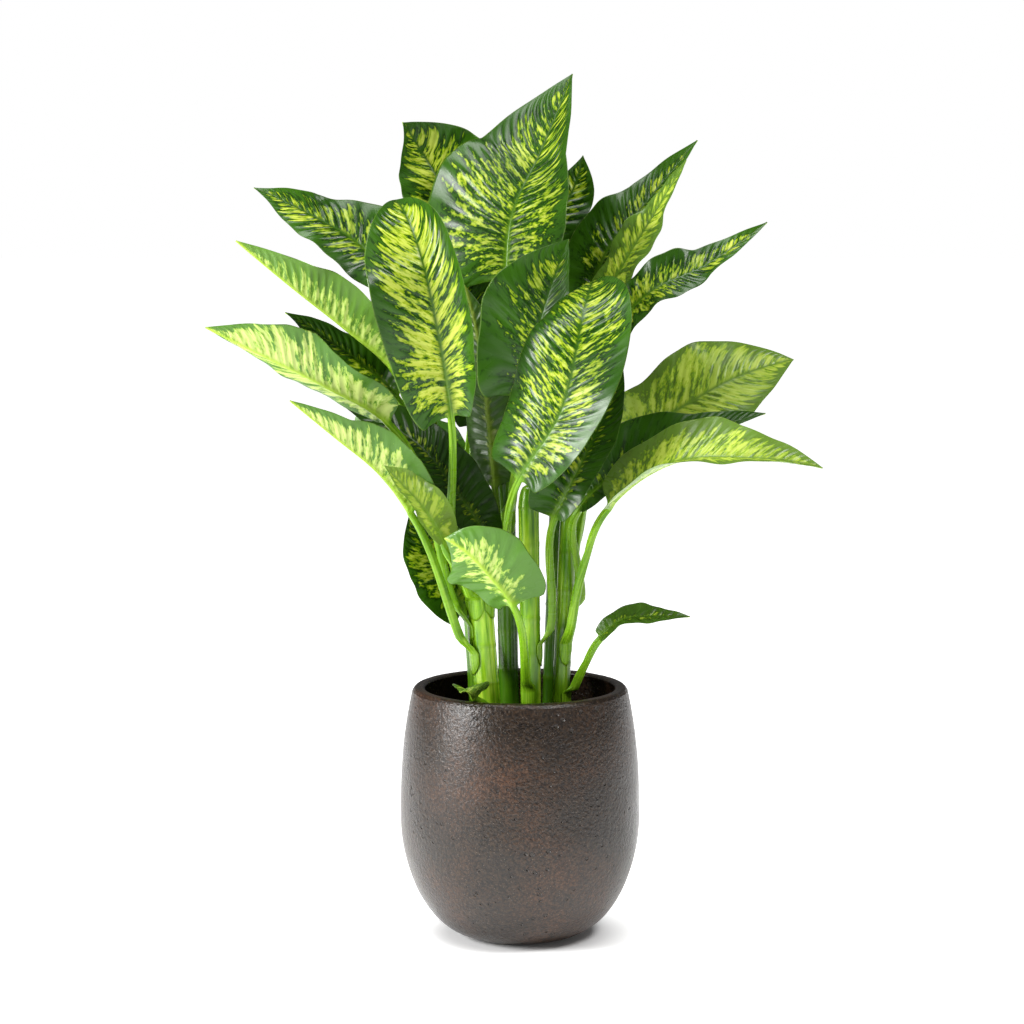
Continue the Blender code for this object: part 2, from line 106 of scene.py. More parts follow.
# an even white surround, which lights the plant more softly than it shows
world = bpy.data.worlds.new("studio_white")
world.use_nodes = True
tree = world.node_tree
tree.nodes.clear()
seen = add(tree, "Background", {"Color": linear(WHITE), "Strength": 1.0})
lit_by = add(tree, "Background", {"Color": linear(WHITE), "Strength": FILL})
surround = add(tree, "MixShader", {0: add(tree, "LightPath"), 1: lit_by, 2: seen})
add(tree, "OutputWorld", {"Surface": surround})
bpy.context.scene.world = world

# lamps: name, place, what it is aimed at, width, height, power in watts
for name, place, aim, wide, tall, power in (
        ("key_softbox", (-2.3, -1.1, 1.25), (0.0, 0.0, 0.55), 0.65, 1.2, 104.0),
        ("side_softbox", (1.3, -1.3, 2.3), (0.25, 0.0, 0.65), 0.6, 0.6, 34.0),
        ("top_softbox", (-0.6, -0.4, 2.8), (0.0, 0.0, 0.60), 1.2, 1.2, 50.0)):
    lamp = bpy.data.objects.new(name, bpy.data.lights.new(name, "AREA"))
    lamp.data.shape = "RECTANGLE"
    lamp.data.size = wide
    lamp.data.size_y = tall
    lamp.data.energy = power
    lamp.location = place
    lamp.rotation_euler = (Vector(aim) - Vector(place)).to_track_quat("-Z", "Y").to_euler()
    bpy.context.scene.collection.objects.link(lamp)

# matt floor, plain and pale with only the faintest cloudiness, that glows from within as painted
# light; the glow fades out towards the pot and leaves a painted contact shadow round its foot
glowing_floor, tree = new_material("glowing_floor")
cloud = add(tree, "TexNoise", {"Vector": add(tree, "TexCoord").outputs["Object"], "Scale": 1.5})
tone = stops(add(tree, "ValToRGB", {"Fac": cloud}), ((0.0, FLOOR_WHITE), (1.0, WHITE)))
away = add(tree, "VectorMath", {0: add(tree, "TexCoord").outputs["Object"]}, operation="LENGTH")
# painted light and painted shadow: the glow is nearly nil close to the pot and full further out
glow = add(tree, "MapRange", {"Value": away.outputs["Value"],
                              "From Min": GLOW_REACH[0], "From Max": GLOW_REACH[1],
                              "To Min": FLOOR_GLOW[0], "To Max": FLOOR_GLOW[1]})
floor_glow_shader = add(tree, "BsdfPrincipled", {"Base Color": tone, "Roughness": 0.8,
                                     "Emission Color": linear(WHITE), "Emission Strength": glow})
add(tree, "OutputMaterial", {"Surface": floor_glow_shader})
bm = bmesh.new()
bmesh.ops.create_grid(bm, x_segments=1, y_segments=1, size=FLOOR_SIZE / 2)
floor_mesh = bpy.data.meshes.new("floor")
bm.to_mesh(floor_mesh)
bm.free()
floor_mesh.materials.append(glowing_floor)
floor = bpy.data.objects.new("floor", floor_mesh)
bpy.context.scene.collection.objects.link(floor)

# ---------------------------------------------------------------- pot
# One thick-walled, egg-shaped pot of dark clay, turned on a wheel and fired unglazed: a grey-brown
# satin skin with rusty patches, a fine grain, and a few pits where grit has fallen out.
POT_HEIGHT = 0.315
POT_BELLY_R = 0.150
POT_BELLY_Z = 0.150
POT_FOOT_R = 0.060
POT_RIM_R = 0.1335
POT_WALL = 0.0155
POT_FLOOR = 0.022
POT_ROUND = 0.005         # softening of the rim's two edges
INNER_FOOT_R = POT_FOOT_R - 0.012
BOWL_START = 0.75         # radius at which the rounded bowl begins, as a share of the foot
BOWL_RISE = 1.8           # the two powers that give the bowl its full, round curve
BOWL_SWELL = 2.4
SHOULDER_DRAW = 2.4       # how late the shoulder draws in
FOOT_EDGE = 0.0015        # bevel round the foot
FOOT_EDGE_Z = 0.0012
POT_STEPS = 256
WALL_LEVELS = 72
INNER_LEVELS = 40
RIM_STEP = 15             # degrees between the points of the rim's rounded edges
PLAIN_FOOT = 0.002        # below this height the skin stays plain, so the foot stands flat
SWELL_SIZE = 0.045        # slow unevenness left by the potter's hands
SWELL_RELIEF = 0.00035
GRAIN_SIZE = 0.0045
GRAIN_RELIEF = 0.00022
SKIN_SUNK = 0.0003        # sinks the relief, so it hardly passes the pot's true size


def pot_radius(z, low, foot_r, belly_r):
    """Radius of the wall at height z: a full bowl up to the belly, then a shoulder drawn in."""
    if z < POT_BELLY_Z:
        t = (POT_BELLY_Z - z) / (POT_BELLY_Z - low)
        start = BOWL_START * foot_r
        return max(foot_r, start + (belly_r - start) * (1 - t ** BOWL_RISE) ** (1 / BOWL_SWELL))
    t = (z - POT_BELLY_Z) / (POT_HEIGHT - POT_BELLY_Z)
    return belly_r - (POT_BELLY_R - POT_RIM_R) * t ** SHOULDER_DRAW


def inner_radius(z):
    return pot_radius(z, POT_FLOOR, INNER_FOOT_R, POT_BELLY_R - POT_WALL)


def rise(low, high, count):
    """Heights from low to high, closer together near the ends where a pot turns fastest."""
    return [low + (high - low) * 0.5 * (1 - math.cos(math.pi * i / count))
            for i in range(count + 1)]


def turned(bm, profile, steps):
    """Spin a profile of (radius, height) points round the upright axis into a closed shape."""
    points = [bm.verts.new((r, 0.0, z)) for r, z in profile]
    lines = [bm.edges.new(pair) for pair in zip(points, points[1:])]
    bmesh.ops.spin(bm, geom=points + lines, cent=(0, 0, 0), axis=(0, 0, 1), dvec=(0, 0, 0),
                   angle=math.tau, steps=steps, use_merge=True, use_duplicate=False)
    bmesh.ops.remove_doubles(bm, verts=bm.verts, dist=1e-7)
    bmesh.ops.recalc_face_normals(bm, faces=bm.faces)


def finish_piece(bm, name, material, node):
    """Make the mesh an object in its place, riding on the root and standing for its node."""
    if bm.calc_volume(signed=True) < 0:
        bmesh.ops.reverse_faces(bm, faces=bm.faces)
    for face in bm.faces:
        face.smooth = True
    mesh = bpy.data.meshes.new(name)
    bm.to_mesh(mesh)
    bm.free()
    mesh.materials.append(material)
    piece = bpy.data.objects.new(name, mesh)
    bpy.context.scene.collection.objects.link(piece)
    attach(piece, "root")
    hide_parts(node)


def blended(tree, share, first, second, how="MIX"):
    """Two colours mixed, or one laid over the other, by a share from 0 to 1."""
    return add(tree, "Mix", {0: share, 6: first, 7: second}, data_type="RGBA",
               blend_type=how).outputs[2]


profile = [(0.0, 0.0), (0.5 * POT_FOOT_R, 0.0), (POT_FOOT_R - FOOT_EDGE, 0.0)]
profile += [(pot_radius(z, 0.0, POT_FOOT_R, POT_BELLY_R), z)
            for z in rise(FOOT_EDGE_Z, POT_HEIGHT - POT_ROUND, WALL_LEVELS)]
for angle in range(RIM_STEP, 91, RIM_STEP):
    a = math.radians(angle)
    profile.append((POT_RIM_R - POT_ROUND + POT_ROUND * math.cos(a),
                    POT_HEIGHT - POT_ROUND + POT_ROUND * math.sin(a)))
for angle in range(90, 0, -RIM_STEP):
    a = math.radians(angle)
    profile.append((POT_RIM_R - POT_WALL + POT_ROUND - POT_ROUND * math.cos(a),
                    POT_HEIGHT - POT_ROUND + POT_ROUND * math.sin(a)))
profile += [(inner_radius(z), z)
            for z in reversed(rise(POT_FLOOR + 0.002, POT_HEIGHT - POT_ROUND, INNER_LEVELS))]
profile += [(INNER_FOOT_R - 0.004, POT_FLOOR), (0.0, POT_FLOOR)]

bm = bmesh.new()
turned(bm, profile, POT_STEPS)
bm.normal_update()
for vert in bm.verts:
    out = math.hypot(vert.co.x, vert.co.y)
    if vert.co.z < PLAIN_FOOT or out < POT_FOOT_R:
        continue
    swell = noise.noise(vert.co / SWELL_SIZE) * SWELL_RELIEF
    grain = noise.noise(vert.co / GRAIN_SIZE) * GRAIN_RELIEF
    vert.co += vert.normal * (swell + grain - SKIN_SUNK)

# unglazed clay: satin, grainy, grey-brown with rusty clouds, small pits with painted shade in their
# hollows, and pale grit
clay, tree = new_material("unglazed_clay")
place = add(tree, "TexCoord").outputs["Object"]
clouds = add(tree, "TexNoise", {"Vector": place, "Scale": 9.0, "Detail": 4.0, "Roughness": 0.6})
body = stops(add(tree, "ValToRGB", {"Fac": clouds}),
             ((0.30, "#2a221a"), (0.46, "#322519"), (0.58, "#3e2b1c"), (0.72, "#513522")))
sand = add(tree, "TexNoise", {"Vector": place, "Scale": 300.0, "Detail": 3.0, "Roughness": 0.8})
sand_tone = stops(add(tree, "ValToRGB", {"Fac": sand}),
                  ((0.38, "#43392f"), (0.50, "#a8a29c"), (0.62, "#ffffff")))
grained = blended(tree, 0.95, body, sand_tone, "MULTIPLY")
pits = add(tree, "TexVoronoi", {"Vector": place, "Scale": 85.0, "Randomness": 1.0})
pit_here = add(tree, "TexNoise", {"Vector": place, "Scale": 22.0})
pit_size = add(tree, "Math", {0: pit_here, 1: 0.46}, operation="SUBTRACT")
pit_edge = add(tree, "Math", {0: pits, 1: pit_size}, operation="SUBTRACT")
pit_mask = add(tree, "MapRange", {"Value": pit_edge, "From Min": 0.02, "From Max": 0.10,
                                  "To Min": 1.0, "To Max": 0.0})
# painted shade: each pit is coloured darker, where shade falls in its hollow
pit_shaded = blended(tree, pit_mask, grained, linear("#29221c"))
grit = add(tree, "TexVoronoi", {"Vector": place, "Scale": 300.0})
grit_rare = add(tree, "MapRange", {"Value": grit, "From Min": 0.02, "From Max": 0.14,
                                   "To Min": 0.60, "To Max": 0.0})
speckled = blended(tree, grit_rare, pit_shaded, linear("#a89a8c"))
rough = add(tree, "MapRange", {"Value": clouds, "From Min": 0.3, "From Max": 0.7,
                               "To Min": 0.24, "To Max": 0.36})
hills = add(tree, "TexNoise", {"Vector": place, "Scale": 230.0, "Detail": 3.0, "Roughness": 0.6})
coarse = add(tree, "Bump", {"Height": hills, "Strength": 1.0, "Distance": 0.0010})
sunk = add(tree, "Bump", {"Height": pit_mask, "Strength": 1.0, "Distance": 0.0040,
                          "Normal": coarse}, invert=True)
fine = add(tree, "Bump", {"Height": sand, "Strength": 0.6, "Distance": 0.0006, "Normal": sunk})
shader = add(tree, "BsdfPrincipled", {"Base Color": speckled, "Roughness": rough,
                                      "IOR": 1.5, "Specular IOR Level": 0.42, "Normal": fine})
add(tree, "OutputMaterial", {"Surface": shader})
finish_piece(bm, "turned_pot", clay, "pot")

# ---------------------------------------------------------------- soil
# Potting mix, peat with bark crumbs, filling the pot to three fingers' width below the rim. It
# lies in a loose, uneven crumb and is nearly black where it stays damp.
SOIL_TOP = 0.262
SOIL_GAP = 0.0006
SOIL_CLEAR = 0.0008       # kept from the wall beside the gap, as the surface is rough
SOIL_SHOULDER = 0.004     # height of the side's first and last level over the floor, under the top
SOIL_LEVELS = 20
SOIL_RINGS = 44
SOIL_STEPS = 160
SOIL_RELIEF = 0.003
LUMP_SIZE = 0.016
CRUMBS = 420
CRUMB_SIZES = (0.0016, 0.0042)


def soil_radius(z):
    return inner_radius(z) - SOIL_GAP - SOIL_CLEAR


soil_edge = soil_radius(SOIL_TOP)
profile = [(0.0, POT_FLOOR + SOIL_GAP), (INNER_FOOT_R - 0.006, POT_FLOOR + SOIL_GAP)]
profile += [(soil_radius(z), z)
            for z in rise(POT_FLOOR + SOIL_SHOULDER, SOIL_TOP - SOIL_SHOULDER, SOIL_LEVELS)]
profile += [(soil_edge * (1 - i / SOIL_RINGS), SOIL_TOP - 0.0035)
            for i in range(1, SOIL_RINGS + 1)]
bm = bmesh.new()
turned(bm, profile, SOIL_STEPS)
for vert in bm.verts:
    if vert.co.z > SOIL_TOP - SOIL_SHOULDER:
        lump = noise.fractal(vert.co / LUMP_SIZE, 0.9, 2.1, 4)
        vert.co.z += SOIL_RELIEF * (0.5 + 0.5 * lump)
rng = np.random.default_rng(7)
for _ in range(CRUMBS):
    out = soil_edge * 0.97 * math.sqrt(rng.random())
    turn = math.tau * rng.random()
    size = rng.uniform(*CRUMB_SIZES)
    spot = Vector((out * math.cos(turn), out * math.sin(turn), SOIL_TOP - 0.0025 + 0.5 * size))
    crumb = bmesh.ops.create_icosphere(bm, subdivisions=1, radius=size)["verts"]
    squash = Vector((rng.uniform(0.6, 1.3), rng.uniform(0.6, 1.3), rng.uniform(0.5, 0.9)))
    for vert in crumb:
        vert.co = spot + vert.co * squash * (1 + 0.35 * noise.noise(vert.co / size + spot * 900))

# peat and bark: matt, dark brown, each crumb a slightly different brown
peat, tree = new_material("peat_and_bark")
place = add(tree, "TexCoord").outputs["Object"]
crumbs = add(tree, "TexVoronoi", {"Vector": place, "Scale": 210.0})
crumb_shade = add(tree, "SeparateColor", {0: crumbs.outputs["Color"]})
crumb_tone = stops(add(tree, "ValToRGB", {"Fac": crumb_shade}),
                   ((0.0, "#120d0a"), (0.55, "#241911"), (0.85, "#38271a"), (1.0, "#4b3826")))
fibres = add(tree, "TexNoise", {"Vector": place, "Scale": 600.0, "Detail": 3.0})
lumpy = add(tree, "Bump", {"Height": fibres, "Strength": 0.8, "Distance": 0.0008})
shader = add(tree, "BsdfPrincipled", {"Base Color": crumb_tone, "Roughness": 0.93, "Normal": lumpy})
add(tree, "OutputMaterial", {"Surface": shader})
finish_piece(bm, "soil_in_pot", peat, "soil")

# ---------------------------------------------------------------- canes
# Thick, soft green stems that grow out of the soil. Each carries the ring scars of leaves that
# have dropped, every few centimetres, and narrows to a growing point at its top.
PLANTING_DEPTH = 0.030
CANE_TAPER = 0.030
CANE_TIP_R = 0.0030
CANE_TURNS = 40
CANE_LEVELS = 90
TAPER_LEVELS = 12
SCAR_SPACING = 0.046
SCAR_HALF = 0.0020
SCAR_SWELL = 0.0006
SCAR_TINT = 0.35

# canes: foot on the soil, top of the growing point, radius
CANES = {
    "a": ((-0.037, -0.030, SOIL_TOP), (-0.053, -0.036, 0.475), 0.0160),
    "b": ((0.014, -0.036, SOIL_TOP), (0.010, -0.034, 0.570), 0.0130),
    "c": ((0.049, -0.020, SOIL_TOP), (0.060, -0.017, 0.540), 0.0110),
    "d": ((-0.013, 0.026, SOIL_TOP), (-0.020, 0.032, 0.610), 0.0130),
    "e": ((0.038, 0.036, SOIL_TOP), (0.050, 0.040, 0.590), 0.0115),
    "f": ((-0.052, 0.044, SOIL_TOP), (-0.074, 0.054, 0.605), 0.0110),
}
CANE_NAMES = {"a": "cane_front_left", "b": "cane_front_middle", "c": "cane_front_right",
              "d": "cane_back_middle", "e": "cane_back_right", "f": "cane_back_left"}
CANE_SHADE = {"a": 0.0, "b": 0.3, "c": 0.3, "d": 0.9, "e": 0.9, "f": 0.7}   # painted shade: darkest on the back canes, a little on the front middle and right ones


def mapped_grid(rows, columns, places, layers):
    """A tube from a flat grid: each grid point goes to its place, and the seam and ends close."""
    bm = bmesh.new()
    bmesh.ops.create_grid(bm, x_segments=rows - 1, y_segments=columns, size=0.5)
    fields = [(bm.verts.layers.float_vector.new(key), values) for key, values in layers.items()]
    for vert in bm.verts:
        i = round((vert.co.x + 0.5) * (rows - 1))
        j = round((vert.co.y + 0.5) * columns) % columns
        vert.co = places[i][j]
        for layer, values in fields:
            vert[layer] = values[i][j]
    bmesh.ops.remove_doubles(bm, verts=bm.verts, dist=1e-8)
    bmesh.ops.holes_fill(bm, edges=[edge for edge in bm.edges if edge.is_boundary], sides=0)
    return bm


def cane_axis(key, z):
    foot, top, _ = CANES[key]
    return Vector(foot).lerp(Vector(top), (z - foot[2]) / (top[2] - foot[2]))


def field(tree, name):
    """The three parts of a value that the mesh carries at each point."""
    carried = add(tree, "Attribute", attribute_name=name)
    return add(tree, "SeparateXYZ", {0: carried.outputs["Vector"]})


def stretched(tree, grain, along, across):
    """The grain's place with so many marks a metre along and across it, apart for each piece."""
    return add(tree, "CombineXYZ", {
        0: add(tree, "Math", {0: grain.outputs[0], 1: along}, operation="MULTIPLY"),
        1: add(tree, "Math", {0: grain.outputs[1], 1: across}, operation="MULTIPLY"),
        2: grain.outputs[2]})


# living cane skin: smooth and waxy, fresh yellow-green, with faint streaks along the stem, broader
# darker bands
#  painted on as shade, a darker green at each ring scar, and painted shade on the back canes most
#  and the front middle and right ones a little
cane_skin, tree = new_material("waxy_cane_skin")
grain = field(tree, "grain")
scar_and_shade = field(tree, "zone")
streaks = add(tree, "TexNoise", {"Vector": stretched(tree, grain, 14.0, 420.0), "Scale": 1.0,
                                 "Detail": 3.0})
green = stops(add(tree, "ValToRGB", {"Fac": streaks}),
              ((0.32, "#4c8008"), (0.50, "#86b61a"), (0.66, "#b8d644")))
# painted shade: broad darker bands along the stem stand in for the shade between the canes
broad = add(tree, "TexNoise", {"Vector": stretched(tree, grain, 9.0, 90.0), "Scale": 1.0,
                               "Detail": 1.0})
shade_bands = add(tree, "MapRange", {"Value": broad, "From Min": 0.48, "From Max": 0.62,
                               "To Min": 0.0, "To Max": 0.65})
shade_banded = blended(tree, shade_bands, green, linear("#3f7806"))
# painted shade: each cane is darkened by the share of shade it carries
cane_shaded = blended(tree, scar_and_shade.outputs[1], shade_banded, linear("#33600a"))
scarred = blended(tree, scar_and_shade.outputs[0], cane_shaded, linear("#5c7c14"))
bump = add(tree, "Bump", {"Height": streaks, "Strength": 0.12, "Distance": 0.0004})
shader = add(tree, "BsdfPrincipled", {"Base Color": scarred, "Roughness": 0.22,
                                      "IOR": 1.45, "Specular IOR Level": 0.55, "Normal": bump})
inner_glow = add(tree, "BsdfTranslucent", {"Color": scarred})
living = add(tree, "MixShader", {0: 0.12, 1: shader, 2: inner_glow})
add(tree, "OutputMaterial", {"Surface": living})

for key, node in CANE_NAMES.items():
    foot, top, radius = CANES[key]
    shoulder = top[2] - CANE_TAPER
    levels = np.concatenate([np.linspace(foot[2] - PLANTING_DEPTH, shoulder, CANE_LEVELS),
                             np.linspace(shoulder, top[2], TAPER_LEVELS)[1:]])
    places, grains, zones = [], [], []
    for z in levels:
        from_scar = (z + 0.013 * ord(key)) % SCAR_SPACING - 0.5 * SCAR_SPACING
        scar = math.exp(-(from_scar / SCAR_HALF) ** 2)
        tip = max(0.0, (z - top[2] + CANE_TAPER) / CANE_TAPER)
        size = CANE_TIP_R + (radius - CANE_TIP_R) * math.sqrt(max(0.0, 1 - tip * tip))
        size += SCAR_SWELL * (scar - 0.6) * (1 - tip)
        centre = cane_axis(key, z)
        turns = [math.tau * j / CANE_TURNS for j in range(CANE_TURNS)]
        places.append([centre + Vector((math.cos(a), math.sin(a), 0.0)) * size for a in turns])
        grains.append([(z, radius * math.sin(a), 7.0 * ord(key) + math.cos(a)) for a in turns])
        zones.append([(SCAR_TINT * scar, CANE_SHADE[key], 0.0)] * CANE_TURNS)
    bm = mapped_grid(len(levels), CANE_TURNS, places, {"grain": grains, "zone": zones})
    finish_piece(bm, "grown_" + node, cane_skin, node)

# ---------------------------------------------------------------- leaves
# Each leaf grows in one piece: a sheath that clasps its cane, a juicy rounded stalk, and a thin
# oval blade quilted between curved side veins, with a wavy edge and a stout midrib below.
GAP = 0.0003
SHEATH_EASE = 0.0001
CLASP_ANGLE = math.radians(44)   # half of the arc a leaf's sheath takes round its cane
CLASP_THICK = 0.0016
DEPARTURE = 0.40          # how far a stalk leans out where it leaves its sheath
SUPPLE = 0.9              # how far a stalk keeps each end's direction, as a share of its reach
BLADE_PULL = 0.65         # how much the blade's direction, not the stalk's, rules the collar
PETIOLE_R = 0.0060        # at the sheath
COLLAR_R = 0.0042         # where the blade begins
STALK_CLOSED = 0.16       # share of the stalk by which the sheath has closed into it
STALK_UP = 0.9            # height of a stalk above and below its widest line, in its radii
STALK_DOWN = 1.1
STALK_FLAT = 0.45         # below 1 the upper side is flatter than a circle
GROOVE_DEPTH = 0.35       # groove along a stalk's upper side: depth, and half-width
GROOVE_HALF = 0.35
BLADE_THICK = 0.0008
KEEL_DEPTH = 0.0050       # midrib standing out below the blade
KEEL_HALF = 0.0042
VEIN_GROOVE = 0.0007      # midrib sunk into the blade's upper side
TIP_HALF = 0.0006
COLLAR_OPENED = 0.06      # share of the blade by which the stalk has opened into it
WAVES = 2.3               # waves along a blade's edge
WAVE_SHIFT = 0.4          # how far the right edge's waves run ahead of the left edge's
FINE_WAVE = 0.35          # height of the smaller waves laid over them
SAG = 0.0012              # slow unevenness of the whole blade
LOBE = 0.45               # how far a blade's rounded base reaches back, in half-widths
LOBE_GROWN = 0.12         # share of the blade's length at which the lobes are full
LOBE_ENDED = 0.50         # and by which they have ended
LOW_SHARE = 0.35          # where along the blade its lower and upper middle points lie
HIGH_SHARE = 0.70
RIB_SPACING = 0.0115      # between side veins along the midrib
RIB_ROWS = 6              # rows of faces from one side vein to the next
RIB_RELIEF = 0.0014
RIB_MEAN = 0.64           # mean of the quilting's wave, taken off so the blade keeps its place
FEWEST_RIBS = 5
VEIN_SWEEP = 0.62         # how far a side vein runs forward for each metre it runs out
MOST_SWEEP = 0.9          # keeps the side veins from crossing at the tip
PLUME_VARIES = 0.16       # how much further or less far one plume reaches than the next
PLUME_FADE = 0.20         # how gradually the yellow ends, as a share of the half-width
PLUME_RAGGED = 0.35       # how much further it reaches along a side vein than between two
MIDLINE_HALF = 0.0015     # half-width of the midrib's own colour, and what its base adds
MIDLINE_BASE = 0.0036
LEAF_APART = 3.7          # keeps the marks of one leaf from repeating on the next
SHEATH_ROWS = 8
SHEATH_ROUND = 0.014      # how far the sheath's two edges start above the middle of its foot
PETIOLE_ROWS = 22
SHARES = (0.0, 0.02, 0.05, 0.09, 0.14, 0.20, 0.27, 0.35, 0.44, 0.54, 0.64, 0.74, 0.84, 0.92,
          0.975, 1.0)

# share of the largest half-width at each share of the blade's length
BLADE_OUTLINE = ((0.0, 0.0), (0.04, 0.36), (0.12, 0.66), (0.25, 0.91), (0.40, 1.0), (0.55, 0.95),
                 (0.70, 0.76), (0.82, 0.51), (0.92, 0.23), (1.0, 0.0))
